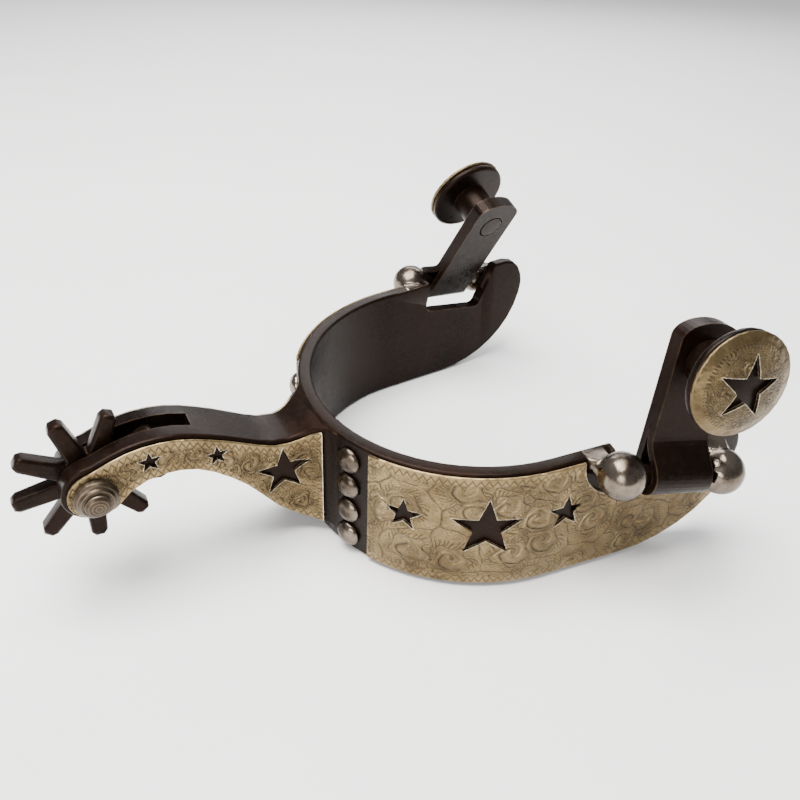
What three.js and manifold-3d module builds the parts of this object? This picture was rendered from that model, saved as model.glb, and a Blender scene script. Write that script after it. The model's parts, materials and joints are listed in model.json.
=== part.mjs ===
// A western spur: a U-shaped heel band with a gooseneck shank forged onto it, a nine-point rowel
// on a riveted pin, silver overlays with star windows, and two swinging button hangers.
//
// Millimetres. X runs forward, from the heel to the open end of the band; Y to the left; Z up.
// The parts are laid out from the band's bottom edge at the heel; at the end the whole spur is
// moved so that the origin is the middle of its box, at the bottom.
import * as THREE from "three";
import { mergeVertices } from "three/addons/utils/BufferGeometryUtils.js";
import Module from "manifold-3d";

const wasm = await Module();
wasm.setup();

const DEG = Math.PI / 180;

// ---------------------------------------------------------------- driving dimensions

const SEAT = 0.15; // gap left where one piece is brazed or riveted down onto another
const RUN = 0.3; // gap left where one piece turns on or slides past another
const SIDES = 20; // facets round a small turned piece
const BUTTON_SIDES = 32; // facets round a button
const THROUGH = 60; // length of a cutting tool that has to pass right through

// Heel band. Distances along it are measured on its inner face, from the middle of the heel.
const BAND = {
  heelRadius: 38, // inner face, round the back of the boot
  bend: 84.8 * DEG, // how far each half turns before its branch runs straight
  wall: 3.3,
  height: 29.8, // at the heel
  rise: 2.4, // how much higher the top edge is at the tips
  reach: 103.8, // heel to tip
  edge: 0.7, // rounding of its edges
};

// Rounded tip of each branch.
const TIP = {
  sweep: 27.8, // length over which the bottom edge sweeps up to the nose
  nose: 24, // height of the nose
  crown: 6.5, // length over which the top edge rounds down to it
};

// Rowel, pin and washers.
const ROWEL = {
  points: 9,
  radius: 14.8,
  hub: 6,
  rootHalf: 0.9, // half width of a point at the hub, over half its share of the hub's rim
  tipHalf: 0.74, // the same at its blunt end
  thick: 3.4,
  bevel: 0.7,
};
const PIN = { radius: 2, headRadius: 2.5, headHeight: 1.2 };
const WASHER = { radius: 4.2, step: 3.5, height: 2.5 };

// Shank: a gooseneck that leaves the band at full height and ends in a fork for the rowel.
const SHANK = {
  length: 46.4, // back of the band to the centre of the rowel pin
  pinHeight: 26.5,
  forkRadius: 6.2, // round end of the fork, about the pin
  forkHalf: 6.1, // half width over the fork
  neckHalf: 5.4, // half width at the neck
  flare: 9, // radius of the fillets that spread it into the band
  slotLength: 20.2, // from the pin to the square end of the slot
  edge: 0.8,
};

// Edges of the shank in side view: distance ahead of the pin, height above the pin.
const SHANK_TOP = [
  [0, 6.2], [4, 7.8], [8.5, 8.9], [14, 9], [19, 8], [26, 5.2],
  [31, 2.7], [35, 0.8], [38.5, 0], [42, 0.6], [45.2, 2.3], [48, 3],
];
const SHANK_BOTTOM = [
  [4.4, -4.4], [7, -1.6], [10.6, -0.3], [16, -0.1], [21.7, -2.2],
  [29.9, -9.3], [36.2, -17.5], [41.3, -22], [45.5, -23.9], [48, -24.2],
];

// Silver overlays. Each is a sheet that stands on the steel, inside its edges by the margin.
const SHEET = { thick: 0.7, edge: 0.3, margin: 0.35, bottomMargin: 0.9 };
const SHANK_SHEET = { margin: 0.7, endMargin: 1, stop: 2.2 }; // stop: its front end, behind the origin
// The sheet on the band starts beside the studs and is swept away below the hinge.
const BAND_SHEET = { start: 19.7, sweepLong: 12, sweepHigh: 10.6, slope: 3.2 };

// Star windows: distance and height of the centre, and the radius of the points.
const STAR_WAIST = 0.4; // radius of the notches over the radius of the points
const BAND_STARS = [[27.3, 17.4, 4.3], [43.3, 16.5, 8], [59.4, 18.2, 4.5]];
const SHANK_STARS = [[10.7, 4.6, 2.5], [23.9, 1.7, 2.5], [37.9, -7.5, 6.3]]; // from the pin

// Row of domed studs beside the shank.
const STUD = { count: 4, radius: 3.05, dome: 1.9, lip: 0.35, station: 14.4, top: 4.9, pitch: 6.9 };

// Hinge of each button hanger: a pin held between two ball-ended lugs.
const HINGE = {
  station: 80.9, // along the branch, middle of the hinge
  standoff: 5.5, // pin line outside the band's outer face
  drop: 3.5, // pin line below the height of the heel
  toe: 4.7 * DEG, // pin line spreads this much more than the branch
  pitch: 9 * DEG, // pin line dips forward
  play: 0.8, // of the hanger between the balls
  ball: 5.1,
  pinRadius: 2.2,
  pinInBall: 3.4, // how deep the pin sits in each ball
};
const LUG = {
  width: 5.6, // of the foot, along the band
  setback: 1, // from the edge of the notch to the foot
  depth: 3.2,
  neck: 3.9,
  skin: 0.5, // left of the band inside the rear foot
  drop: 1.6, // top of the front foot below the band's top
};
const NOTCH = { rearClear: 5, frontClear: 0.6, below: 5.8, corner: 2, slant: 0.3 };

// Hanger: a strap folded round the pin, with its two layers side by side above.
const STRAP = {
  thick: 1.7,
  width: 14,
  slit: 0.2, // between the two layers at the fold; above it they are welded
  shoulder: 29.8, // where the round end starts, above the pin
  crown: 3.7, // height of the round end
  pinch: 8.6, // where the outer layer meets the inner one, above the pin
  weld: 10.5, // where the weld starts, above the pin
  fold: 1.3, // bend at the bottom of the inner layer
};
const LEAN = { left: 25 * DEG, right: 6.7 * DEG }; // how far each hanger leans in at rest

// Button: a turned stud riveted through the hanger, and a domed cap.
const BUTTON = {
  height: 25.5, // above the hinge pin
  radius: 10.95,
  rimOut: 10, // rim of the cap, outside the hinge pin
  discThick: 1.9,
  dome: 2.6,
  capThick: 1,
  post: 4.8,
  tail: 3.3,
  star: 7,
};

// ---------------------------------------------------------------- materials

const steel = (color, roughness) => new THREE.MeshStandardMaterial({ color, roughness, metalness: 0.9 });
const MATERIAL = {
  brown: steel(0x3a2a22, 0.5),
  rowel: steel(0x38251d, 0.45),
  silver: steel(0xb5a27c, 0.35),
  polished: steel(0x9b938b, 0.22),
  turned: steel(0x6d6459, 0.4),
};

// ---------------------------------------------------------------- solids and booleans

// A closed geometry as a solid, moved by a matrix if one is given.
function solid(geometry, matrix) {
  const g = geometry.clone();
  for (const name of Object.keys(g.attributes)) if (name !== "position") g.deleteAttribute(name);
  if (matrix) g.applyMatrix4(matrix);
  const merged = mergeVertices(g, 1e-4);
  const mesh = new wasm.Mesh({
    numProp: 3,
    vertProperties: new Float32Array(merged.attributes.position.array),
    triVerts: new Uint32Array(merged.index.array),
  });
  return new wasm.Manifold(mesh);
}

// The solid back as a geometry with flat faces.
function geometryOf(made) {
  const mesh = made.getMesh();
  const g = new THREE.BufferGeometry();
  const xyz = new Float32Array(mesh.numVert * 3);
  for (let i = 0; i < mesh.numVert; i++) {
    xyz.set(mesh.vertProperties.subarray(i * mesh.numProp, i * mesh.numProp + 3), i * 3);
  }
  g.setAttribute("position", new THREE.BufferAttribute(xyz, 3));
  g.setIndex(new THREE.BufferAttribute(new Uint32Array(mesh.triVerts), 1));
  const flat = g.toNonIndexed();
  flat.computeVertexNormals();
  return flat;
}

const cut = (body, ...tools) => tools.reduce((a, b) => a.subtract(b), body);
const join = (body, ...others) => others.reduce((a, b) => a.add(b), body);

// The same geometry on the other side of the spur's middle plane.
function mirrored(geometry) {
  const g = geometry.index ? geometry.toNonIndexed() : geometry.clone();
  const p = g.attributes.position;
  for (let i = 0; i < p.count; i += 3) {
    const [a, b, c] = [0, 2, 1].map((k) => [p.getX(i + k), -p.getY(i + k), p.getZ(i + k)]);
    [a, b, c].forEach((v, k) => p.setXYZ(i + k, ...v));
  }
  g.computeVertexNormals();
  return g;
}

// Closed skin through rings of points, with flat ends. Rings run anticlockwise as the skin's
// own direction points at the viewer.
function loft(rings) {
  const n = rings[0].length;
  const xyz = rings.flat(2);
  const faces = [];
  for (let r = 0; r + 1 < rings.length; r++) {
    for (let i = 0; i < n; i++) {
      const a = r * n + i;
      const b = r * n + ((i + 1) % n);
      faces.push(a, b, b + n, a, b + n, a + n);
    }
  }
  for (const r of [0, rings.length - 1]) {
    const middle = xyz.length / 3;
    for (let k = 0; k < 3; k++) xyz.push(rings[r].reduce((sum, p) => sum + p[k], 0) / n);
    for (let i = 0; i < n; i++) {
      const a = r * n + i;
      const b = r * n + ((i + 1) % n);
      faces.push(...(r === 0 ? [middle, b, a] : [middle, a, b]));
    }
  }
  const g = new THREE.BufferGeometry();
  g.setAttribute("position", new THREE.Float32BufferAttribute(xyz, 3));
  g.setIndex(faces);
  return g;
}

// Rectangle with rounded corners as points [u, v], anticlockwise.
function roundedRectangle(u0, u1, v0, v1, radius, steps = 2) {
  const r = Math.min(radius, 0.49 * (u1 - u0), 0.49 * (v1 - v0));
  const corners = [[u1 - r, v0 + r, -90], [u1 - r, v1 - r, 0], [u0 + r, v1 - r, 90], [u0 + r, v0 + r, 180]];
  return corners.flatMap(([cu, cv, start]) =>
    Array.from({ length: steps + 1 }, (_, k) => {
      const a = (start + (90 * k) / steps) * DEG;
      return [cu + r * Math.cos(a), cv + r * Math.sin(a)];
    }),
  );
}

// Smooth height through a few points, as a function of distance.
function heightThrough(points) {
  const slope = points.map((p, i) => {
    const a = points[Math.max(i - 1, 0)];
    const b = points[Math.min(i + 1, points.length - 1)];
    return (b[1] - a[1]) / (b[0] - a[0]);
  });
  return (x) => {
    const last = points.length - 2;
    const i = Math.min(Math.max(points.findIndex((p) => p[0] > x) - 1, 0), last);
    const k = x >= points[last + 1][0] ? last : i;
    const [a, b] = [points[k], points[k + 1]];
    const w = b[0] - a[0];
    const t = Math.min(Math.max((x - a[0]) / w, 0), 1);
    const [t2, t3] = [t * t, t * t * t];
    return (
      (2 * t3 - 3 * t2 + 1) * a[1] + (t3 - 2 * t2 + t) * w * slope[k] +
      (3 * t2 - 2 * t3) * b[1] + (t3 - t2) * w * slope[k + 1]
    );
  };
}

// Flat outline pushed to a thickness, from z = 0 up.
const plate = (shape, depth, steps = 12) =>
  new THREE.ExtrudeGeometry(shape, { depth, bevelEnabled: false, curveSegments: steps });

function starShape(radius) {
  const shape = new THREE.Shape();
  for (let i = 0; i < 10; i++) {
    const r = i % 2 ? radius * STAR_WAIST : radius;
    const a = (90 + 36 * i) * DEG;
    shape[i ? "lineTo" : "moveTo"](r * Math.cos(a), r * Math.sin(a));
  }
  shape.closePath();
  return shape;
}

// Turned piece: [radius, height] points about the Z axis, from the axis and back to it.
const turned = (profile, sides) =>
  new THREE.LatheGeometry(profile.map(([r, z]) => new THREE.Vector2(r, z)), sides).rotateX(Math.PI / 2);

const cylinder = (radius, from, to, sides) =>
  turned([[0, from], [radius, from], [radius, to], [0, to]], sides);

// ---------------------------------------------------------------- heel band

const heelCentre = BAND.wall / 2 + BAND.heelRadius; // X of the centre of the heel's curve
const straightFrom = BAND.heelRadius * BAND.bend;

// Point and directions of the band's inner face at a distance from the heel, on the left side
// for a positive distance and on the right side for a negative one.
function along(distance) {
  const side = distance < 0 ? -1 : 1;
  const s = Math.abs(distance);
  const turn = Math.min(s / BAND.heelRadius, BAND.bend);
  const extra = Math.max(s - straightFrom, 0);
  const forward = new THREE.Vector3(Math.sin(turn), side * Math.cos(turn), 0);
  const outward = new THREE.Vector3(-Math.cos(turn), side * Math.sin(turn), 0);
  const point = new THREE.Vector3(heelCentre, 0, 0)
    .addScaledVector(outward, BAND.heelRadius)
    .addScaledVector(forward, extra);
  return { point, forward, outward };
}

// Frame on the left branch: X forward along the band, Y outward from its inner face, Z up.
function onBand(distance) {
  const { point, forward, outward } = along(distance);
  return new THREE.Matrix4().makeBasis(forward, outward, new THREE.Vector3(0, 0, 1)).setPosition(point);
}

const topAt = (s) => BAND.height + BAND.rise * (s / BAND.reach) ** 2;

// Bottom and top of the band at a distance, inside its outline by the margins.
function heights(distance, margin = 0, bottomMargin = margin) {
  const s = Math.abs(distance);
  const sweep = TIP.sweep - margin;
  const crown = TIP.crown - margin;
  const end = BAND.reach - margin;
  const low = Math.max(s - (end - sweep), 0) / sweep;
  const high = Math.max(s - (end - crown), 0) / crown;
  const bottom = TIP.nose - (TIP.nose - bottomMargin) * Math.sqrt(Math.max(1 - low * low, 0));
  const top = TIP.nose + (topAt(s) - margin - TIP.nose) * Math.sqrt(Math.max(1 - high * high, 0));
  return [bottom, top];
}

// Distances for the band's sections: even round the heel, closer towards a rounded tip.
function stations(from, to, arcStep = 3.2, tipSteps = 9) {
  const list = [];
  const bends = Math.ceil((straightFrom - from) / arcStep);
  for (let i = 0; i <= bends; i++) list.push(from + ((straightFrom - from) * i) / bends);
  const sweepFrom = to - TIP.sweep;
  list.push(sweepFrom);
  for (let i = 1; i < tipSteps; i++) list.push(sweepFrom + TIP.sweep * Math.sin((90 * DEG * i) / tipSteps));
  list.push(to - 0.05);
  return list;
}

// Wall of the band between two offsets from its inner face.
function wall(distances, inner, outer, edge, margin, bottomMargin) {
  return loft(
    distances.map((s) => {
      const { point, outward } = along(s);
      const [bottom, top] = heights(s, margin, bottomMargin);
      return roundedRectangle(inner, outer, bottom, top, edge).map(([off, z]) => [
        point.x + outward.x * off, point.y + outward.y * off, z,
      ]);
    }),
  );
}

const half = stations(0, BAND.reach);
const bandStations = [...half.slice(1).map((s) => -s).reverse(), ...half];
const bandWall = solid(wall(bandStations, 0, BAND.wall, BAND.edge, 0, 0));

// ---------------------------------------------------------------- shank

const pinX = -BAND.wall / 2 - SHANK.length;
const shankTop = heightThrough(SHANK_TOP);
const shankBottom = heightThrough(SHANK_BOTTOM);

// Bottom and top of the shank at X, inside its outline by a margin.
function shankHeights(x, margin = 0) {
  const ahead = x - pinX;
  const radius = SHANK.forkRadius - margin;
  const arc = Math.sqrt(Math.max(radius * radius - ahead * ahead, 0));
  const roundTop = ahead < 0 ? arc : shankTop(ahead) - margin;
  const forkEnd = SHANK_BOTTOM[0][0] * (radius / SHANK.forkRadius);
  const roundBottom = ahead < forkEnd ? -arc : shankBottom(ahead) + margin;
  return [SHANK.pinHeight + roundBottom, SHANK.pinHeight + roundTop];
}

// Centre of the fillet that spreads the shank's left side into the band's outer face.
const flareY = SHANK.neckHalf + SHANK.flare;
const flareReach = BAND.heelRadius + BAND.wall + SHANK.flare;
const flareX = heelCentre - Math.sqrt(flareReach ** 2 - flareY ** 2);
const tangentX = flareX + (SHANK.flare * (heelCentre - flareX)) / flareReach;

// Half width of the shank at X.
function shankHalf(x) {
  if (x > flareX) return flareY - Math.sqrt(Math.max(SHANK.flare ** 2 - (x - flareX) ** 2, 0));
  const t = Math.min(Math.max((flareX - x) / (flareX - pinX), 0), 1);
  return SHANK.neckHalf + (SHANK.forkHalf - SHANK.neckHalf) * Math.sin((90 * DEG) * t);
}

// X of each section: close together round the fork's end and in the flare.
function shankStations(from, to) {
  const list = [];
  const nose = pinX - from;
  for (let i = 0; i < 6; i++) list.push(pinX - nose * Math.cos((90 * DEG * i) / 6));
  for (let i = 0; i < 12; i++) list.push(pinX + ((flareX - pinX) * i) / 12);
  const last = Math.asin((to - flareX) / SHANK.flare);
  for (let i = 0; i <= 7; i++) list.push(flareX + SHANK.flare * Math.sin((last * i) / 7));
  return list;
}

const shankBody = () =>
  solid(
    loft(
      shankStations(pinX - SHANK.forkRadius + 0.03, tangentX).map((x) => {
        const [bottom, top] = shankHeights(x);
        const half = shankHalf(x);
        return roundedRectangle(-half, half, bottom, top, SHANK.edge).map(([y, z]) => [x, y, z]);
      }),
    ),
  );

// Turns a piece that stands on the Z axis to lie along Y, about the rowel pin.
const aboutPin = new THREE.Matrix4()
  .makeTranslation(pinX, 0, SHANK.pinHeight)
  .multiply(new THREE.Matrix4().makeRotationX(-90 * DEG));

const pinBore = solid(cylinder(PIN.radius + RUN, -THROUGH, THROUGH, SIDES), aboutPin);
const slotHalf = ROWEL.thick / 2 + RUN * 1.6;
const forkSlot = solid(
  new THREE.BoxGeometry(THROUGH, 2 * slotHalf, THROUGH),
  new THREE.Matrix4().makeTranslation(pinX + SHANK.slotLength - THROUGH / 2, 0, SHANK.pinHeight),
);

// ---------------------------------------------------------------- hinge

// Frame of the left hinge: X along the pin, Y outward, Z up, at the middle of the pin.
const branch = along(HINGE.station);
const hingeMiddle = branch.point
  .clone()
  .addScaledVector(branch.outward, BAND.wall + HINGE.standoff)
  .setZ(BAND.height - HINGE.drop);
const hingeYaw = Math.atan2(branch.forward.y, branch.forward.x) + HINGE.toe;
const hingeFrame = new THREE.Matrix4()
  .makeRotationFromEuler(new THREE.Euler(0, HINGE.pitch, hingeYaw, "ZYX"))
  .setPosition(hingeMiddle);
const alongPin = new THREE.Matrix4().makeRotationY(90 * DEG);

// Where the hinge's middle plane crosses the band, measured along the band.
const hingeGap = STRAP.width + 2 * HINGE.ball + HINGE.play;
const crossing = HINGE.station + (HINGE.standoff + BAND.wall / 2) * Math.tan(HINGE.toe);
const notchRear = STRAP.width / 2 + NOTCH.rearClear;
const notchFront = STRAP.width / 2 + NOTCH.frontClear;

// Tool for the notch that the hanger swings in through.
function notchTool() {
  const r = NOTCH.corner;
  const [left, right, low, high] = [-notchRear, notchFront, -NOTCH.below, THROUGH / 2];
  const shape = new THREE.Shape();
  shape.moveTo(left, high);
  shape.lineTo(left, low + r);
  shape.absarc(left + r, low + r, r, Math.PI, 1.5 * Math.PI);
  shape.absarc(right - r, low + r, r, 1.5 * Math.PI, 2 * Math.PI);
  shape.lineTo(right + NOTCH.slant * (high - low - r), high);
  shape.closePath();
  const stand = new THREE.Matrix4().makeRotationX(90 * DEG); // shape's Y becomes Z, its depth runs inward
  return solid(plate(shape, THROUGH / 2, 4), hingeFrame.clone().multiply(stand));
}

// One lug: a foot let into the band's top edge, a neck and a ball. end is -1 at the rear of
// the hinge and 1 at its front.
function lugParts(end) {
  const fromNotch = LUG.setback + LUG.width / 2;
  const rootStation = crossing + end * ((end < 0 ? notchRear : notchFront) + fromNotch);
  const ballCentre = new THREE.Vector3((end * hingeGap) / 2, 0, 0).applyMatrix4(hingeFrame);
  const frame = onBand(rootStation);
  const floor = topAt(rootStation) - LUG.depth;
  const top = topAt(rootStation) - (end < 0 ? 0 : LUG.drop);
  const inner = end < 0 ? LUG.skin + SEAT : BAND.wall + SEAT;
  return { ballCentre, frame, top, floor, inner };
}

// Pocket in the top of the band for the rear foot. The front foot stands on the band's outer face.
function lugPocket() {
  const { frame, floor } = lugParts(-1);
  const deep = 2 * (BAND.wall - LUG.skin);
  const box = new THREE.BoxGeometry(LUG.width + 2 * SEAT, deep, THROUGH).translate(
    0, LUG.skin + deep / 2, floor + THROUGH / 2,
  );
  return solid(box, frame);
}

// Hollow in the band's outer face behind a ball.
function ballSeat(end) {
  const { x, y, z } = lugParts(end).ballCentre;
  const sphere = new THREE.SphereGeometry(HINGE.ball + RUN, SIDES, 12).rotateX(90 * DEG);
  return solid(sphere.translate(x, y, z));
}

function lug(end) {
  const { frame, ballCentre, top, floor, inner } = lugParts(end);
  const toLocal = frame.clone().invert();
  const ball = ballCentre.clone().applyMatrix4(toLocal);
  const ring = (y, u0, u1, v0, v1, r) =>
    roundedRectangle(u0, u1, v0, v1, r, 3).map(([x, z]) => [x, y, z]).reverse();
  const w = LUG.width / 2;
  const [low, high] = [floor + SEAT, top];
  const n = LUG.neck;
  const neck = loft([
    ring(inner, -w, w, low, high, 0.4),
    ring(BAND.wall + RUN, -w, w, low, high, 0.9),
    ring(BAND.wall + 1, 0.25 * ball.x - w, 0.25 * ball.x + w * 0.97, low - 0.7, high - 0.2, 1.6),
    ring(BAND.wall + 2.6, 0.6 * ball.x - n * 0.95, 0.6 * ball.x + n * 0.95, low - 1.2, high - 0.7, 2.6),
    ring(ball.y - 1.2, ball.x - n, ball.x + n, ball.z - n + 0.4, ball.z + n + 0.5, n * 0.95),
    ring(ball.y, ball.x - n, ball.x + n, ball.z - n + 0.2, ball.z + n + 0.2, n * 0.95),
  ]);
  const sphere = new THREE.SphereGeometry(HINGE.ball, SIDES, 12).rotateX(90 * DEG);
  const hole = cylinder(HINGE.pinRadius + RUN, -HINGE.pinInBall - RUN, THROUGH / 4, SIDES);
  const holeFrame = hingeFrame
    .clone()
    .setPosition(new THREE.Vector3(end * (hingeGap / 2 - HINGE.ball), 0, 0).applyMatrix4(hingeFrame))
    .multiply(new THREE.Matrix4().makeRotationY(-end * 90 * DEG));
  const body = join(
    solid(neck, frame),
    solid(sphere, new THREE.Matrix4().makeTranslation(...ballCentre.toArray())),
  );
  return cut(body, solid(hole, holeFrame));
}

const hingePin = () => {
  const halfLength = hingeGap / 2 - HINGE.ball + HINGE.pinInBall;
  return cylinder(HINGE.pinRadius, -halfLength, halfLength, SIDES);
};

// ---------------------------------------------------------------- heel band with its shank

function heelBand() {
  const leftTools = [notchTool(), lugPocket(), ballSeat(-1), ballSeat(1)];
  const rightTools = leftTools.map((tool) => solid(mirrored(geometryOf(tool))));
  const body = join(bandWall, shankBody());
  return cut(body, forkSlot, pinBore, ...leftTools, ...rightTools);
}

// ---------------------------------------------------------------- overlays

const starTool = ([x, z, radius], frame) => {
  const stand = new THREE.Matrix4().makeRotationX(90 * DEG).setPosition(x, THROUGH / 4, z);
  return solid(plate(starShape(radius), THROUGH / 2), frame.clone().multiply(stand));
};

// Left sheet on the band: round the heel from beside the studs to the tip, cut away below the hinge.
function bandSheet() {
  const inner = BAND.wall + SEAT;
  const distances = stations(BAND_SHEET.start, BAND.reach - SHEET.margin, 3.2, 8);
  const outer = inner + SHEET.thick;
  const skin = solid(wall(distances, inner, outer, SHEET.edge, SHEET.margin, SHEET.bottomMargin));
  const stars = BAND_STARS.map(([s, z, r]) => starTool([0, z, r], onBand(s)));
  const { sweepLong, sweepHigh, slope } = BAND_SHEET;
  const left = crossing - notchRear - LUG.setback - LUG.width - 2 * RUN;
  const shape = new THREE.Shape();
  shape.moveTo(left, THROUGH);
  shape.lineTo(left, BAND.height);
  shape.absellipse(left + sweepLong, BAND.height, sweepLong, sweepHigh, Math.PI, 1.5 * Math.PI);
  shape.lineTo(BAND.reach + 1, BAND.height - sweepHigh - slope);
  shape.lineTo(BAND.reach + 1, THROUGH);
  shape.closePath();
  const frame = onBand(straightFrom).multiply(
    new THREE.Matrix4().makeRotationX(90 * DEG).setPosition(-straightFrom, THROUGH / 4, 0),
  );
  return cut(skin, ...stars, solid(plate(shape, THROUGH / 2), frame));
}

// Left sheet on the shank: follows its side from the fork's round end into the flare.
function shankSheet() {
  const margin = SHANK_SHEET.margin;
  const front = -SHANK_SHEET.stop;
  const skin = solid(
    loft(
      shankStations(pinX - SHANK.forkRadius + SHANK_SHEET.endMargin + 0.03, front).map((x) => {
        const end = Math.max(SHANK_SHEET.endMargin, margin);
        const [bottom, top] = shankHeights(x, x < pinX ? end : margin);
        const y = shankHalf(x) + SEAT;
        return roundedRectangle(y, y + SHEET.thick, bottom, top, 0.3).map(([v, z]) => [x, v, z]);
      }),
    ),
  );
  const frame = new THREE.Matrix4().makeTranslation(pinX, 0, SHANK.pinHeight);
  const stars = SHANK_STARS.map((star) => starTool(star, frame));
  return cut(skin, pinBore, ...stars);
}

// ---------------------------------------------------------------- rowel, pin and washers

function rowel() {
  const { points, radius, hub, thick, bevel } = ROWEL;
  const share = hub * Math.tan((180 * DEG) / points);
  const rootHalf = ROWEL.rootHalf * share;
  const tipHalf = ROWEL.tipHalf * share;
  const shape = new THREE.Shape();
  const at = (angle, far, across) => [
    far * Math.cos(angle) - across * Math.sin(angle),
    far * Math.sin(angle) + across * Math.cos(angle),
  ];
  for (let i = 0; i < points; i++) {
    const a = (360 * DEG * i) / points;
    const outline = [
      at(a, hub, -rootHalf), at(a, radius - 1, -tipHalf), at(a, radius, -tipHalf * 0.55),
      at(a, radius, tipHalf * 0.55), at(a, radius - 1, tipHalf), at(a, hub, rootHalf),
    ];
    outline.forEach((p, k) => shape[i || k ? "lineTo" : "moveTo"](...p));
  }
  shape.closePath();
  const body = new THREE.ExtrudeGeometry(shape, {
    depth: thick - 2 * bevel, bevelEnabled: true, bevelThickness: bevel, bevelSize: bevel,
    bevelOffset: -bevel, bevelSegments: 2,
  }).translate(0, 0, bevel - thick / 2);
  return cut(solid(body), solid(cylinder(PIN.radius + RUN, -THROUGH, THROUGH, SIDES)));
}

const sheetFace = SHANK.forkHalf + SEAT + SHEET.thick; // outer face of the sheet at the pin
const washerFace = sheetFace + SEAT + WASHER.height;

// Stepped washer, standing on Z from its seat.
const washer = () =>
  turned(
    [
      [PIN.radius + RUN, 0], [WASHER.radius, 0], [WASHER.radius, 0.45 * WASHER.height],
      [WASHER.radius - 0.35, 0.62 * WASHER.height], [WASHER.step, 0.7 * WASHER.height],
      [WASHER.step - 0.3, 0.95 * WASHER.height], [PIN.headRadius, WASHER.height],
      [PIN.radius + RUN, WASHER.height], [PIN.radius + RUN, 0],
    ],
    SIDES,
  );

// Rivet pin with a low domed head at each end.
function rowelPin() {
  const seat = washerFace + SEAT;
  const { radius, headRadius, headHeight } = PIN;
  const head = [
    [headRadius, seat], [headRadius, seat + 0.35 * headHeight],
    [0.8 * headRadius, seat + 0.8 * headHeight], [0.4 * headRadius, seat + headHeight],
    [0, seat + headHeight],
  ];
  const profile = [[radius, seat], ...head];
  const under = [...profile].reverse().map(([r, z]) => [r, -z]);
  return turned([...under, ...profile], SIDES);
}

// ---------------------------------------------------------------- studs

function stud() {
  const { radius, dome, lip } = STUD;
  const arc = [62, 32, 0].map((a) => [
    radius * Math.sin(a * DEG), lip + ((dome - lip) * (Math.cos(a * DEG) - Math.cos(78 * DEG))) / (1 - Math.cos(78 * DEG)),
  ]);
  return turned([[0, 0], [radius, 0], [radius, lip], ...arc.slice(0, -1), [0, dome]], 16);
}

// ---------------------------------------------------------------- hangers and buttons
// These are modelled upright in the hinge's frame: X along the pin, Y outward, Z up.

const loopRadius = HINGE.pinRadius + RUN + STRAP.thick / 2; // middle of the strap round the pin
const outerLayer = -loopRadius + STRAP.thick + STRAP.slit; // middle of the outer layer
const innerFace = -loopRadius - STRAP.thick / 2;
const outerFace = outerLayer + STRAP.thick / 2;

function hanger() {
  const height = STRAP.shoulder + STRAP.crown;
  const leave = 38 * DEG; // where the outer layer leaves the loop
  const middle = [new THREE.Vector2(outerLayer, height + 1)];
  const start = new THREE.Vector2(outerLayer, STRAP.pinch);
  const end = new THREE.Vector2(loopRadius * Math.cos(leave), loopRadius * Math.sin(leave));
  const along = new THREE.Vector2(-Math.sin(leave), Math.cos(leave));
  const bend = new THREE.CubicBezierCurve(
    start, start.clone().add(new THREE.Vector2(0, -3)), end.clone().addScaledVector(along, 3), end,
  );
  middle.push(...bend.getPoints(6));
  for (let i = 1; i <= 10; i++) {
    const a = leave - ((90 * DEG + leave) * i) / 10;
    middle.push(new THREE.Vector2(loopRadius * Math.cos(a), loopRadius * Math.sin(a)));
  }
  const turn = STRAP.fold - loopRadius; // the inner layer stays flat down to a tight bend
  for (let i = 0; i <= 4; i++) {
    const a = (-90 - 22.5 * i) * DEG;
    middle.push(new THREE.Vector2(turn + STRAP.fold * Math.cos(a), turn + STRAP.fold * Math.sin(a)));
  }
  middle.push(new THREE.Vector2(-loopRadius, height + 1));
  const side = (sign) =>
    middle.map((p, i) => {
      const a = middle[Math.max(i - 1, 0)];
      const b = middle[Math.min(i + 1, middle.length - 1)];
      const t = b.clone().sub(a).normalize();
      return new THREE.Vector2(p.x - (sign * t.y * STRAP.thick) / 2, p.y + (sign * t.x * STRAP.thick) / 2);
    });
  const section = new THREE.Shape([...side(1), ...side(-1).reverse()]);
  const w = STRAP.width / 2;
  // (Y, Z) section pushed along X
  const upright = new THREE.Matrix4().makeBasis(
    new THREE.Vector3(0, 1, 0), new THREE.Vector3(0, 0, 1), new THREE.Vector3(1, 0, 0),
  );
  const folded = solid(plate(section, STRAP.width).translate(0, 0, -w), upright);
  const filler = new THREE.BoxGeometry(STRAP.width, STRAP.thick, height - STRAP.weld).translate(
    0, outerLayer - STRAP.thick / 2, (height + STRAP.weld) / 2,
  );
  const strap = join(folded, solid(filler));
  const outline = new THREE.Shape();
  outline.moveTo(-w - 1, -THROUGH);
  outline.lineTo(w + 1, -THROUGH);
  outline.lineTo(w + 1, STRAP.shoulder - 1);
  outline.lineTo(w, STRAP.shoulder);
  outline.absellipse(0, STRAP.shoulder, w, STRAP.crown, 0, Math.PI);
  outline.lineTo(-w - 1, STRAP.shoulder - 1);
  outline.closePath();
  const stand = new THREE.Matrix4().makeRotationX(90 * DEG).setPosition(0, THROUGH / 2, 0);
  const bore = solid(cylinder(BUTTON.tail + RUN, -THROUGH, THROUGH, SIDES), outFromStrap);
  return cut(strap.intersect(solid(plate(outline, THROUGH, 8), stand)), bore);
}

// Turns a piece that stands on the Z axis to point outward at the button's height.
const outFromStrap = new THREE.Matrix4()
  .makeTranslation(0, 0, BUTTON.height)
  .multiply(new THREE.Matrix4().makeRotationX(-90 * DEG));

// Height of a dome above its rim plane, at a radius.
const domeRadius = (BUTTON.radius ** 2 + BUTTON.dome ** 2) / (2 * BUTTON.dome);
const domeAt = (r) => Math.sqrt(domeRadius ** 2 - r * r) - (domeRadius - BUTTON.dome);

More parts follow.
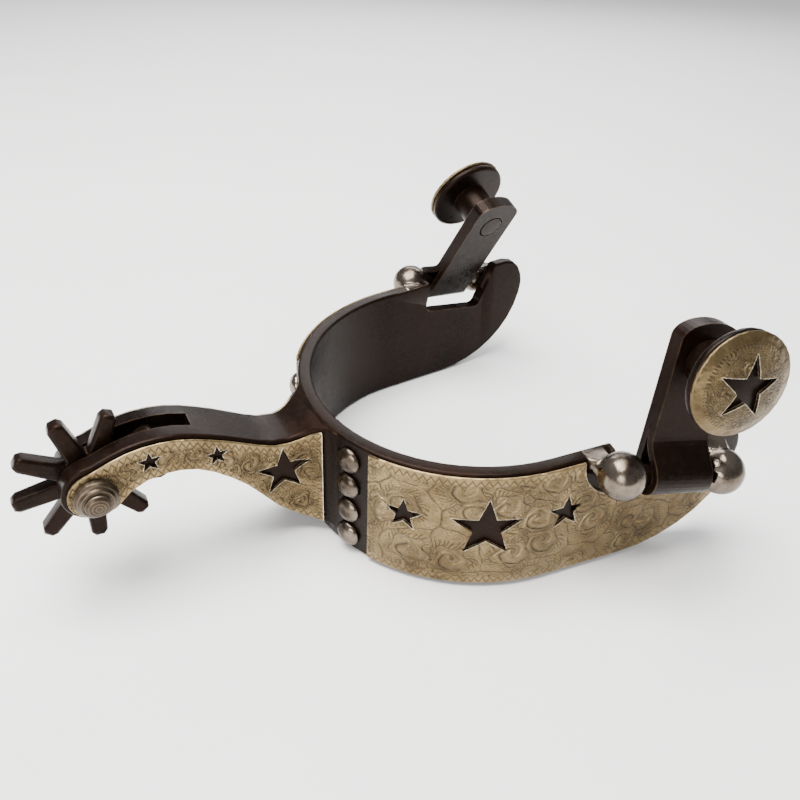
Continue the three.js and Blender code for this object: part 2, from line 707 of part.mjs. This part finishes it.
// Stud: tail flush with the hanger's inner face, post, and a disc whose front fits the cap.
function buttonStud() {
  const { radius, rimOut, discThick, capThick, post, tail } = BUTTON;
  const front = rimOut - SEAT - 0.5 * capThick;
  const back = front - discThick;
  const rim = radius - 0.1;
  const steps = [0.85, 0.65, 0.45, 0.25];
  return turned(
    [
      [0, innerFace - 0.1], [tail, innerFace - 0.1], [tail, outerFace + SEAT], [post, outerFace + SEAT],
      [post, back], [rim - 0.6, back], [rim, back + 0.55],
      [rim, front - 0.5], [rim - 0.3, front - 0.1],
      ...steps.map((k) => [k * rim, front + domeAt(k * rim) - 0.35]),
      [0, front + domeAt(0) - 0.35],
    ],
    BUTTON_SIDES,
  );
}

function concho() {
  const { radius, rimOut, capThick } = BUTTON;
  const rings = [0.97, 0.86, 0.72, 0.56, 0.4, 0.2];
  const outside = rings.map((k) => [k * radius, rimOut + domeAt(k * radius)]);
  const inside = rings.map((k) => [k * radius, rimOut + domeAt(k * radius) - capThick * 0.75]);
  const shell = turned(
    [
      [0, rimOut + BUTTON.dome - capThick * 0.75],
      ...inside.reverse(),
      [0.99 * radius, rimOut - 0.45 * capThick], [radius, rimOut - 0.2 * capThick], [radius, rimOut + 0.1],
      ...outside, [0, rimOut + BUTTON.dome],
    ],
    BUTTON_SIDES,
  );
  const star = solid(plate(starShape(BUTTON.star), THROUGH));
  return cut(solid(shell), star);
}

// ---------------------------------------------------------------- assembly

const spur = new THREE.Group();

function add(parent, name, made, material) {
  const geometry = made.isBufferGeometry ? made : geometryOf(made);
  const mesh = new THREE.Mesh(geometry, material);
  mesh.name = name;
  parent.add(mesh);
  return mesh;
}

add(spur, "heel_band", heelBand(), MATERIAL.brown);

const rowelMesh = add(spur, "rowel", rowel(), MATERIAL.rowel);
const rowelTurn = 31.5 * DEG; // first point, above the line to the rear
rowelMesh.applyMatrix4(aboutPin.clone().multiply(new THREE.Matrix4().makeRotationZ(180 * DEG + rowelTurn)));
add(spur, "rowel_pin", rowelPin(), MATERIAL.turned).applyMatrix4(aboutPin);

const bandSheetLeft = geometryOf(bandSheet());
const shankSheetLeft = geometryOf(shankSheet());
const lugLeft = { rear: geometryOf(lug(-1)), front: geometryOf(lug(1)) };
const hangerLeft = geometryOf(hanger());
const conchoShape = geometryOf(concho());

for (const [name, side] of [["left", 1], ["right", -1]]) {
  const onSide = (geometry) => (side > 0 ? geometry : mirrored(geometry));

  add(spur, `rowel_washer_${name}`, washer(), MATERIAL.turned).applyMatrix4(
    new THREE.Matrix4()
      .makeTranslation(pinX, side * (sheetFace + SEAT), SHANK.pinHeight)
      .multiply(new THREE.Matrix4().makeRotationX(-side * 90 * DEG)),
  );
  add(spur, `shank_overlay_${name}`, onSide(shankSheetLeft), MATERIAL.silver);
  add(spur, `band_overlay_${name}`, onSide(bandSheetLeft), MATERIAL.silver);

  const { point, outward } = along(side * STUD.station);
  for (let i = 0; i < STUD.count; i++) {
    const mesh = add(spur, `heel_stud_${name}_${i + 1}`, stud(), MATERIAL.polished);
    mesh.quaternion.setFromUnitVectors(new THREE.Vector3(0, 0, 1), outward);
    mesh.position.copy(point).addScaledVector(outward, BAND.wall + SEAT);
    mesh.position.z = BAND.height - STUD.top - i * STUD.pitch;
  }

  add(spur, `hinge_lug_${name}_rear`, onSide(lugLeft.rear), MATERIAL.polished);
  add(spur, `hinge_lug_${name}_front`, onSide(lugLeft.front), MATERIAL.polished);

  const hinge = new THREE.Group();
  hinge.position.set(hingeMiddle.x, side * hingeMiddle.y, hingeMiddle.z);
  hinge.rotation.set(0, HINGE.pitch, side * hingeYaw, "ZYX");
  spur.add(hinge);
  add(hinge, `hinge_pin_${name}`, hingePin(), MATERIAL.brown).applyMatrix4(alongPin);

  const swing = new THREE.Group();
  swing.rotation.x = side * LEAN[name];
  hinge.add(swing);
  add(swing, `hanger_${name}`, onSide(hangerLeft), MATERIAL.brown);
  const outFrom = new THREE.Matrix4()
    .makeTranslation(0, 0, BUTTON.height)
    .multiply(new THREE.Matrix4().makeRotationX(-side * 90 * DEG));
  add(swing, `button_stud_${name}`, buttonStud(), MATERIAL.brown).applyMatrix4(outFrom);
  // the star's first point stays uppermost on both sides
  const turnStar = new THREE.Matrix4().makeRotationZ(side > 0 ? 180 * DEG : 0);
  add(swing, `concho_${name}`, conchoShape, MATERIAL.silver).applyMatrix4(outFrom.multiply(turnStar));
}

const box = new THREE.Box3().setFromObject(spur, true);
spur.position.set(-(box.min.x + box.max.x) / 2, -(box.min.y + box.max.y) / 2, -box.min.z);

export default spur;
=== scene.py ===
import json
import math

import bmesh
import bpy
import numpy as np
from mathutils import Matrix, Vector

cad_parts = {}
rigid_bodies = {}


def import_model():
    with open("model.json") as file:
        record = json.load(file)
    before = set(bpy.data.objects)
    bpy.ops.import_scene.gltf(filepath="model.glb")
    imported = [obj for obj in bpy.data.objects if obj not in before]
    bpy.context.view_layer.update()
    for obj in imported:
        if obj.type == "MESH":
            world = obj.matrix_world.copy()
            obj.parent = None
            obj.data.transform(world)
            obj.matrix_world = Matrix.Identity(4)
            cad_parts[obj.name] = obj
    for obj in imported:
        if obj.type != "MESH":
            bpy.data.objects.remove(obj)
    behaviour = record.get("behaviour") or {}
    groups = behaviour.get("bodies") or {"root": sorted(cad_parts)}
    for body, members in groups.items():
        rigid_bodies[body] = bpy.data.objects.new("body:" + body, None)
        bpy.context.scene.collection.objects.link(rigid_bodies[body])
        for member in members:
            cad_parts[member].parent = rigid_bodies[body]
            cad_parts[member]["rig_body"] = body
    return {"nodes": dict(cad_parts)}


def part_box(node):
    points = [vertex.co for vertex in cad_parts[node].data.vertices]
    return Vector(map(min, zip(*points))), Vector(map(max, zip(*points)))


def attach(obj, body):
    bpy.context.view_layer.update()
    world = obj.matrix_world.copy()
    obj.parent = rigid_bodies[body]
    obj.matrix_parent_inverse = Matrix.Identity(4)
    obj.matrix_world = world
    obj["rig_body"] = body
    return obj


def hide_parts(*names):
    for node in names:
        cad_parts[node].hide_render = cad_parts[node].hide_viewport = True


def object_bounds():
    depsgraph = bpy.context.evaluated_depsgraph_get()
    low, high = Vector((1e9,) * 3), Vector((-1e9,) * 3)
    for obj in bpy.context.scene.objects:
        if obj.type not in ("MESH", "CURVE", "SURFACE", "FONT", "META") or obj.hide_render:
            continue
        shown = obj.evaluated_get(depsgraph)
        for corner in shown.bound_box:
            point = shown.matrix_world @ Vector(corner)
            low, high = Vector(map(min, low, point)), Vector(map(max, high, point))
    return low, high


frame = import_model()
cad_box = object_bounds()

MM = 0.001

# Sizes of the spur, in millimetres, measured from the rowel pin.
HEEL_CENTRE = 87.7      # pin to the centre of the heel's curve
HEEL_RADIUS = 38.0      # inner face of the band
BEND = math.radians(84.8)

pin_low, pin_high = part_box("rowel_pin")
PIN = (pin_low + pin_high) / 2


# ---------------------------------------------------------------- camera

def make_camera():
    data = bpy.data.cameras.new("camera")
    data.sensor_width = 36
    data.lens = 36.53
    data.shift_x = -0.0159
    data.shift_y = -0.074
    data.clip_start = 0.005
    camera = bpy.data.objects.new("camera", data)
    camera.matrix_world = (
        Matrix.Translation(PIN + Vector((-4.39, -137.99, 108.43)) * MM)
        @ Matrix.Rotation(math.radians(-28.856), 4, "Z")
        @ Matrix.Rotation(math.radians(90 - 30.984), 4, "X")
        @ Matrix.Rotation(math.radians(2.72), 4, "Z")
    )
    bpy.context.scene.collection.objects.link(camera)
    bpy.context.scene.camera = camera


# ---------------------------------------------------------------- node helpers

class Shade:
    """A material under construction: short calls that add a node and return its output."""

    def __init__(self, name):
        self.material = bpy.data.materials.new(name)
        self.material.use_nodes = True
        self.tree = self.material.node_tree
        self.tree.nodes.clear()
        self.bsdf = self.tree.nodes.new("ShaderNodeBsdfPrincipled")
        output = self.tree.nodes.new("ShaderNodeOutputMaterial")
        self.tree.links.new(self.bsdf.outputs[0], output.inputs[0])

    def put(self, socket, value):
        if isinstance(value, bpy.types.NodeSocket):
            self.tree.links.new(value, socket)
        else:
            socket.default_value = value

    def node(self, kind, out=0, values=None, **props):
        made = self.tree.nodes.new("ShaderNode" + kind)
        for key, value in props.items():
            setattr(made, key, value)
        for key, value in (values or {}).items():
            self.put(made.inputs[key], value)
        return made.outputs[out]

    def math(self, operation, a, b=0.0, c=0.0):
        made = self.tree.nodes.new("ShaderNodeMath")
        made.operation = operation
        for i, value in enumerate((a, b, c)):
            self.put(made.inputs[i], value)
        return made.outputs[0]

    def vector(self, operation, a, b=(0, 0, 0), out=0):
        made = self.tree.nodes.new("ShaderNodeVectorMath")
        made.operation = operation
        self.put(made.inputs[0], a)
        self.put(made.inputs[1], b)
        return made.outputs[out]

    def scaled(self, vector, factor):
        made = self.tree.nodes.new("ShaderNodeVectorMath")
        made.operation = "SCALE"
        self.put(made.inputs[0], vector)
        self.put(made.inputs["Scale"], factor)
        return made.outputs[0]

    def place(self):
        return self.node("TexCoord", out="Object")

    def noise(self, vector, scale, detail=3.0, rough=0.55, distortion=0.0):
        return self.node("TexNoise", values={
            "Vector": vector, "Scale": scale, "Detail": detail, "Roughness": rough,
            "Distortion": distortion})

    def ramp(self, value, low, high, to_low=0.0, to_high=1.0):
        return self.node("MapRange", values={
            "Value": value, "From Min": low, "From Max": high, "To Min": to_low,
            "To Max": to_high})

    def mix(self, factor, a, b):
        made = self.tree.nodes.new("ShaderNodeMix")
        made.data_type = "RGBA"
        self.put(made.inputs[0], factor)
        self.put(made.inputs[6], a)
        self.put(made.inputs[7], b)
        return made.outputs[2]

    def line(self, distance, half, soft):
        """1 on a line where distance is near 0, fading to 0 over its soft edge."""
        away = self.math("ABSOLUTE", distance)
        return self.ramp(away, half, half + soft, 1.0, 0.0)

    def wear(self, radius):
        """1 on edges, 0 on flat faces."""
        bent = self.node("Bevel", samples=6, values={"Radius": radius})
        flat = self.node("NewGeometry", out="Normal")
        same = self.vector("DOT_PRODUCT", bent, flat, out="Value")
        return self.ramp(same, 0.98, 0.8)

    def bump(self, height, distance, strength=1.0, normal=None):
        values = {"Height": height, "Distance": distance, "Strength": strength}
        if normal is not None:
            values["Normal"] = normal
        return self.node("Bump", values=values)

    def finish(self, color, metallic, roughness, normal=None):
        self.put(self.bsdf.inputs["Base Color"], color)
        self.put(self.bsdf.inputs["Metallic"], metallic)
        self.put(self.bsdf.inputs["Roughness"], roughness)
        if normal is not None:
            self.put(self.bsdf.inputs["Normal"], normal)
        return self.material


def rgb(r, g, b):
    return (r, g, b, 1.0)


# ---------------------------------------------------------------- materials

def browned(name, dark, red, worn, rough=0.42):
    """Steel with a brown oxide finish: mottled, finely pitted, rubbed bright along its edges."""
    m = Shade(name)
    at = m.place()
    cloud = m.noise(at, 55.0, 4.0, 0.6)
    grain = m.noise(at, 700.0, 3.0, 0.6)
    pits = m.noise(at, 2600.0, 2.0)
    stroke = m.noise(m.vector("MULTIPLY", at, (300.0, 300.0, 3200.0)), 1.0, 2.0)
    color = m.mix(m.ramp(cloud, 0.36, 0.72, 0.0, 0.8), dark, red)
    color = m.mix(m.ramp(grain, 0.52, 0.75, 0.0, 0.05), color, worn)
    rubbed = m.math("MULTIPLY", m.wear(0.0006), m.ramp(m.noise(at, 240.0), 0.35, 0.6, 0.1, 0.75))
    color = m.mix(rubbed, color, worn)
    roughness = m.ramp(m.math("ADD", cloud, m.math("MULTIPLY", grain, 0.6)), 0.6, 1.0,
                       rough - 0.07, rough + 0.13)
    roughness = m.math("SUBTRACT", roughness, m.math("MULTIPLY", rubbed, 0.08))
    normal = m.bump(stroke, 0.000012)
    normal = m.bump(grain, 0.00004, 0.6, normal)
    normal = m.bump(m.ramp(pits, 0.3, 0.42), 0.00003, 0.5, normal)
    m.bsdf.inputs["Specular IOR Level"].default_value = 0.1
    return m.finish(color, 0.5, roughness, normal)


def polished(name, light, dark, rough=0.2):
    """Bare steel, hand polished: soft scratches, a few nicks, grey in its hollows."""
    m = Shade(name)
    at = m.place()
    cloud = m.noise(at, 130.0, 4.0, 0.6, 0.4)
    scratch = m.noise(m.vector("MULTIPLY", at, (2600.0, 2600.0, 260.0)), 1.0, 2.0)
    nicks = m.node("TexVoronoi", values={"Vector": at, "Scale": 620.0})
    nick = m.ramp(nicks, 0.0, 0.16, 1.0, 0.0)
    color = m.mix(m.ramp(cloud, 0.4, 0.68), light, dark)
    color = m.mix(m.math("MULTIPLY", nick, 0.5), color, dark)
    roughness = m.ramp(cloud, 0.35, 0.7, rough, rough + 0.16)
    normal = m.bump(m.noise(at, 150.0, 2.0, 0.5, 0.4), 0.0009, 0.7)
    normal = m.bump(scratch, 0.00003, 0.6, normal)
    normal = m.bump(nick, -0.00005, 0.5, normal)
    return m.finish(color, 1.0, roughness, normal)


def turned_steel(name):
    """Dull steel with the rings left by turning, centred on the rowel pin."""
    m = Shade(name)
    at = m.place()
    from_pin = m.vector("MULTIPLY", m.vector("SUBTRACT", at, tuple(PIN)), (1.0, 0.0, 1.0))
    far = m.vector("LENGTH", from_pin, out="Value")
    wobble = m.math("MULTIPLY", m.noise(at, 260.0), 0.0004)
    rings = m.math("SINE", m.math("MULTIPLY", m.math("ADD", far, wobble), 2 * math.pi / 0.00062))
    cloud = m.noise(at, 190.0, 4.0, 0.65)
    color = m.mix(m.ramp(cloud, 0.35, 0.65), rgb(0.085, 0.063, 0.042), rgb(0.022, 0.0155, 0.01))
    color = m.mix(m.ramp(rings, 0.1, 1.0, 0.0, 0.3), color, rgb(0.25, 0.2, 0.15))
    roughness = m.ramp(cloud, 0.3, 0.7, 0.34, 0.52)
    normal = m.bump(rings, 0.00004, 0.6)
    normal = m.bump(m.noise(at, 900.0), 0.00003, 0.5, normal)
    return m.finish(color, 0.9, roughness, normal)


def wriggle(m, margin, along, pitch):
    """Zigzag cut that runs along an edge, between 0.5 and 1.8 mm inside it."""
    phase = m.math("FRACT", m.math("DIVIDE", along, pitch))
    saw = m.math("ABSOLUTE", m.math("SUBTRACT", phase, 0.5))
    offset = m.math("SUBTRACT", margin, m.math("ADD", 0.5, m.math("MULTIPLY", saw, 2.6)))
    return m.line(offset, 0.14, 0.16)


def silver(name, scroll=9.0, plain_rim=None, tone=1.0):
    """Nickel silver engraved by hand. UV maps hold millimetres on the sheet, the distances from
    its upper and lower edges, and those from its ends. A round cap has a plain rim instead."""
    m = Shade(name)
    at = m.place()
    flat = m.node("UVMap", uv_map="sheet")
    split = m.tree.nodes.new("ShaderNodeSeparateXYZ")
    m.put(split.inputs[0], flat)
    along, up = split.outputs[0], split.outputs[1]

    # scrolls: each cell winds about its own centre
    bent = m.vector("ADD", flat, m.scaled(m.node("TexNoise", out="Color", values={
        "Vector": flat, "Scale": 0.22, "Detail": 1.0}), 2.4))
    cells = m.tree.nodes.new("ShaderNodeTexVoronoi")
    cells.voronoi_dimensions = "2D"
    m.put(cells.inputs["Vector"], bent)
    m.put(cells.inputs["Scale"], 1 / scroll)
    m.put(cells.inputs["Randomness"], 0.75)
    # the cell's centre comes back in the units of the vector
    arm = m.vector("SUBTRACT", bent, cells.outputs["Position"])
    reach = m.vector("LENGTH", arm, out="Value")
    arm_split = m.tree.nodes.new("ShaderNodeSeparateXYZ")
    m.put(arm_split.inputs[0], arm)
    angle = m.math("ARCTAN2", arm_split.outputs[1], arm_split.outputs[0])
    wind = m.math("SUBTRACT", m.math("MULTIPLY", reach, 3.6 / scroll),
                  m.math("DIVIDE", angle, 2 * math.pi))
    turn = m.math("SUBTRACT", m.math("FRACT", wind), 0.5)
    spiral = m.line(turn, 0.04, 0.05)
    petals = m.math("MULTIPLY", m.math("SINE", m.math("MULTIPLY", angle, 5.0)), 0.055 * scroll)
    leaf = m.line(m.math("SUBTRACT", m.math("ADD", reach, petals), scroll * 0.42), 0.1, 0.12)
    inside = m.ramp(reach, scroll * 0.36, scroll * 0.44, 1.0, 0.0)
    spiral = m.math("MULTIPLY", spiral, inside)
    edge_cells = m.tree.nodes.new("ShaderNodeTexVoronoi")
    edge_cells.voronoi_dimensions = "2D"
    edge_cells.feature = "DISTANCE_TO_EDGE"
    m.put(edge_cells.inputs["Vector"], bent)
    m.put(edge_cells.inputs["Scale"], 1 / scroll)
    m.put(edge_cells.inputs["Randomness"], 0.75)
    veins = m.math("MULTIPLY", m.line(edge_cells.outputs["Distance"], 0.012, 0.016), 0.8)
    flute = m.math("SUBTRACT", m.math("FRACT", m.math("MULTIPLY", wind, 4.0)), 0.5)
    flutes = m.line(flute, 0.05, 0.1)
    flutes = m.math("MULTIPLY", flutes, m.math("MULTIPLY", inside, 0.45))
    cut = m.math("MAXIMUM", m.math("MAXIMUM", spiral, leaf), m.math("MAXIMUM", veins, flutes))
    broken = m.ramp(m.noise(flat, 0.55, 2.0), 0.36, 0.5, 0.3, 1.0)
    cut = m.math("MULTIPLY", cut, broken)

    # short strokes that stand out from the leaves
    slanted = m.math("ADD", angle, m.math("MULTIPLY", reach, 0.12))
    fringe = m.ramp(m.math("SINE", m.math("MULTIPLY", slanted, 34.0)), 0.0, 0.8)
    beyond = m.math("SUBTRACT", m.math("ADD", reach, petals), scroll * 0.5)
    ring = m.line(beyond, scroll * 0.05, scroll * 0.03)
    fringe = m.math("MULTIPLY", fringe, ring)
    cut = m.math("MAXIMUM", cut, m.math("MULTIPLY", fringe, 0.75))

    # fine parallel hatching inside some scrolls, each in its own direction
    tint = m.tree.nodes.new("ShaderNodeSeparateColor")
    m.put(tint.inputs[0], cells.outputs["Color"])
    lean = m.math("MULTIPLY", tint.outputs[0], math.pi)
    across = m.math("ADD", m.math("MULTIPLY", along, m.math("COSINE", lean)),
                    m.math("MULTIPLY", up, m.math("SINE", lean)))
    hatch = m.math("SINE", m.math("MULTIPLY", across, 2 * math.pi / 0.42))
    hatched = m.math("MULTIPLY", m.ramp(tint.outputs[1], 0.45, 0.5), inside)
    hatch = m.math("MULTIPLY", m.ramp(hatch, 0.1, 0.9), hatched)

    # stippled ground
    stipple = m.ramp(m.noise(flat, 2.9, 3.0, 0.7), 0.5, 0.62)
    ground = m.math("SUBTRACT", 1.0, m.math("MULTIPLY", inside, 0.7))
    stipple = m.math("MULTIPLY", stipple, ground)

    if plain_rim is None:
        # wriggled border along the edges
        margins = m.tree.nodes.new("ShaderNodeSeparateXYZ")
        m.put(margins.inputs[0], m.node("UVMap", uv_map="margins"))
        near = m.math("MINIMUM", margins.outputs[0], margins.outputs[1])
        ends = m.tree.nodes.new("ShaderNodeSeparateXYZ")
        m.put(ends.inputs[0], m.node("UVMap", uv_map="ends"))
        heel_end = ends.outputs[0 if name.endswith("shank") else 1]
        border = m.math("MAXIMUM", wriggle(m, near, along, 1.5), wriggle(m, heel_end, up, 1.0))
        field = m.ramp(near, 1.7, 2.2)
    else:
        # rope of short strokes inside a plain polished rim
        radius = m.vector("LENGTH", flat, out="Value")
        around = m.math("ARCTAN2", up, along)
        strokes = m.math("SINE", m.math("MULTIPLY", around, 72.0))
        band = m.line(m.math("SUBTRACT", radius, plain_rim), 0.35, 0.1)
        border = m.math("MULTIPLY", m.ramp(strokes, 0.0, 0.8), band)
        field = m.ramp(radius, plain_rim, plain_rim - 0.3)

    cut = m.math("MAXIMUM", m.math("MULTIPLY", cut, field), m.math("MULTIPLY", border, 0.8))
    hatch = m.math("MULTIPLY", hatch, field)
    stipple = m.math("MULTIPLY", stipple, field)

    tarnish = m.noise(at, 120.0, 4.0, 0.65)
    color = m.mix(m.ramp(tarnish, 0.32, 0.7), rgb(0.31 * tone, 0.222 * tone, 0.108 * tone),
                  rgb(0.115 * tone, 0.077 * tone, 0.034 * tone))
    color = m.mix(m.math("MULTIPLY", stipple, 0.62), color, rgb(0.07, 0.047, 0.021))
    color = m.mix(m.math("MULTIPLY", hatch, 0.6), color, rgb(0.12, 0.085, 0.045))
    color = m.mix(m.math("MULTIPLY", cut, 0.85), color, rgb(0.05, 0.036, 0.02))
    color = m.mix(m.math("MULTIPLY", m.wear(0.00035), 0.9), color, rgb(0.9, 0.8, 0.6))
    roughness = m.ramp(tarnish, 0.3, 0.7, 0.3, 0.46)
    roughness = m.math("ADD", roughness, m.math("MULTIPLY", stipple, 0.12))
    normal = m.bump(m.noise(flat, 0.33, 2.0), 0.0009, 0.8)
    swell = m.math("SINE", m.math("MULTIPLY", wind, 4 * math.pi))
    swell = m.math("MULTIPLY", swell, m.math("MULTIPLY", inside, field))
    normal = m.bump(swell, 0.0004, 0.8, normal)
    normal = m.bump(cut, -0.00035, 1.0, normal)
    normal = m.bump(hatch, -0.00014, 0.8, normal)
    normal = m.bump(stipple, -0.0002, 1.0, normal)
    normal = m.bump(m.noise(at, 420.0), 0.00006, 0.5, normal)
    return m.finish(color, 0.9, roughness, normal)


# ---------------------------------------------------------------- pieces

def copy_of(node, bevel, sharp=34):
    """A finer copy of a CAD node: edges eased, curved faces smooth."""
    source = frame["nodes"][node]
    mesh = bpy.data.meshes.new(node + "_fine")
    work = bmesh.new()
    work.from_mesh(source.data)
    bmesh.ops.remove_doubles(work, verts=work.verts, dist=2e-6)
    for face in work.faces:
        face.smooth = True
    work.to_mesh(mesh)
    work.free()
    mesh.set_sharp_from_angle(angle=math.radians(sharp))
    piece = bpy.data.objects.new(node + "_fine", mesh)
    bpy.context.scene.collection.objects.link(piece)
    if bevel:
        ease = piece.modifiers.new("ease", "BEVEL")
        ease.width = bevel
        ease.segments = 2
        ease.limit_method = "ANGLE"
        ease.angle_limit = math.radians(sharp)
    level = piece.modifiers.new("level", "WEIGHTED_NORMAL")
    level.keep_sharp = True
    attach(piece, source["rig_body"])
    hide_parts(node)
    return piece


def band_place(point):
    """Distance round the band from the middle of the heel and height, in millimetres."""
    x = (point.x - PIN.x) / MM - HEEL_CENTRE
    y = abs(point.y - PIN.y) / MM
    turn = math.atan2(y, -x)
    if turn < BEND:
        return HEEL_RADIUS * turn, (point.z - PIN.z) / MM
    ahead = x * math.sin(BEND) + y * math.cos(BEND)
    return HEEL_RADIUS * BEND + ahead, (point.z - PIN.z) / MM


def shank_place(point):
    return (point.x - PIN.x) / MM, (point.z - PIN.z) / MM


def upper_edge(places, steepest=1.2):
    """Height of a sheet's upper edge as a function of the distance along it. A point that lies
    deeper than the edge could fall from another one is a corner of a star, not of the edge."""
    points = sorted(places)
    where = np.array([along for along, _ in points])
    height = np.array([up for _, up in points])
    fall = height[None, :] - steepest * np.abs(where[:, None] - where[None, :])
    edge = height >= fall.max(axis=1) - 0.02
    return lambda along: np.interp(along, where[edge], height[edge])


def lay_out(piece, place):
    """UV maps of a sheet: millimetres on it, distances from its edges, and from its ends."""
    mesh = piece.data
    places = [place(v.co) for v in mesh.vertices]
    high_at = upper_edge(places)
    low_at = upper_edge([(along, -up) for along, up in places])
    sheet = mesh.uv_layers.new(name="sheet")
    margins = mesh.uv_layers.new(name="margins")
    ends = mesh.uv_layers.new(name="ends")
    first = min(place[0] for place in places)
    last = max(place[0] for place in places)
    for loop in mesh.loops:
        along, up = places[loop.vertex_index]
        high = high_at(along)
        low = -low_at(along)
        sheet.data[loop.index].uv = (along, up)
        margins.data[loop.index].uv = (high - up, up - low)
        ends.data[loop.index].uv = (last - along, along - first)


def lay_out_cap(piece, side):
    """UV map of a round cap: millimetres from its centre, across its own plane."""
    low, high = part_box("concho_" + side)
    points = np.array([v.co for v in piece.data.vertices])
    middle = points.mean(axis=0)
    _, _, axes = np.linalg.svd(points - middle)
    normal = axes[2]
    up = np.array([0.0, 0.0, 1.0]) - normal * normal[2]
    up /= np.linalg.norm(up)
    across = np.cross(up, normal)
    centre = (np.array(low) + np.array(high)) / 2
    sheet = piece.data.uv_layers.new(name="sheet")
    for loop in piece.data.loops:
        offset = points[loop.vertex_index] - centre
        sheet.data[loop.index].uv = (float(offset @ across) / MM, float(offset @ up) / MM)


def dress(piece, material):
    piece.data.materials.clear()
    piece.data.materials.append(material)


# ---------------------------------------------------------------- floor and light

def make_floor(z):
    mesh = bpy.data.meshes.new("floor")
    mesh.from_pydata([(-3, -3, z), (3, -3, z), (3, 3, z), (-3, 3, z)], [], [(0, 1, 2, 3)])
    floor = bpy.data.objects.new("floor", mesh)
    bpy.context.scene.collection.objects.link(floor)
    m = Shade("floor")
    speckle = m.noise(m.place(), 30.0)
    floor.data.materials.append(m.finish(
        m.mix(speckle, rgb(0.86, 0.86, 0.86), rgb(0.9, 0.9, 0.9)), 0.0, 0.7))


def area(name, place, aim, size, power, color=(1, 1, 1)):
    data = bpy.data.lights.new(name, "AREA")
    data.shape = "RECTANGLE"
    data.size, data.size_y = size
    data.energy = power
    data.color = color
    lamp = bpy.data.objects.new(name, data)
    lamp.location = place
    lamp.rotation_euler = (Vector(aim) - Vector(place)).to_track_quat("-Z", "Y").to_euler()
    bpy.context.scene.collection.objects.link(lamp)


def make_light():
    world = bpy.data.worlds.new("studio")
    bpy.context.scene.world = world
    world.use_nodes = True
    background = world.node_tree.nodes["Background"]
    nodes = world.node_tree.nodes
    links = world.node_tree.links
    direction = nodes.new("ShaderNodeTexCoord")
    split = nodes.new("ShaderNodeSeparateXYZ")
    links.new(direction.outputs["Generated"], split.inputs[0])
    rise = nodes.new("ShaderNodeMapRange")
    rise.inputs["From Min"].default_value = -0.1
    rise.inputs["From Max"].default_value = 0.9
    rise.inputs["To Min"].default_value = 0.3
    rise.inputs["To Max"].default_value = 0.5
    links.new(split.outputs[2], rise.inputs["Value"])
    links.new(rise.outputs[0], background.inputs[1])
    background.inputs[0].default_value = (0.95, 0.97, 1.0, 1.0)
    aim = (0.0, 0.0, 0.02)
    area("key", (-0.12, 0.05, 0.65), aim, (0.5, 0.5), 16.0, (1.0, 0.98, 0.95))
    area("fill", (-0.55, -0.5, 0.3), aim, (0.4, 0.3), 5.0, (1.0, 0.97, 0.93))
    area("back", (0.35, 0.55, 0.4), aim, (0.6, 0.3), 3.0)


# ---------------------------------------------------------------- the spur

make_camera()

BROWN = browned("browned_steel", rgb(0.006, 0.0035, 0.0023), rgb(0.0135, 0.005, 0.0025),
                rgb(0.1, 0.064, 0.04), 0.32)
ROWEL = browned("rowel_steel", rgb(0.0065, 0.0038, 0.0024), rgb(0.015, 0.0052, 0.0026),
                rgb(0.15, 0.1, 0.066), 0.3)
STEEL = polished("polished_steel", rgb(0.2, 0.163, 0.13), rgb(0.026, 0.019, 0.0135), 0.19)
TURNED = turned_steel("turned_steel")
SHEET = silver("engraved_sheet")
SHANK = silver("engraved_shank", 6.0)
CAP = silver("engraved_cap", 5.0, plain_rim=8.6, tone=0.6)

for name in ("heel_band", "hinge_pin_left", "hinge_pin_right"):
    dress(copy_of(name, 0.0 if name == "heel_band" else 0.0002), BROWN)
dress(copy_of("rowel", 0.0), ROWEL)
dress(copy_of("rowel_pin", 0.00015), TURNED)

for side in ("left", "right"):
    for name in ("hanger_", "button_stud_"):
        dress(copy_of(name + side, 0.00022), BROWN)
    dress(copy_of("rowel_washer_" + side, 0.0002), TURNED)
    for end in ("_rear", "_front"):
        dress(copy_of("hinge_lug_" + side + end, 0.0, 55), STEEL)
    for i in range(1, 5):
        dress(copy_of(f"heel_stud_{side}_{i}", 0.0), STEEL)
    for name, place, look in (("band_overlay_", band_place, SHEET),
                              ("shank_overlay_", shank_place, SHANK)):
        piece = copy_of(name + side, 0.0)
        lay_out(piece, place)
        dress(piece, look)
    cap = copy_of("concho_" + side, 0.0)
    lay_out_cap(cap, side)
    dress(cap, CAP)

make_floor(cad_box[0][2] - 0.0002)
make_light()
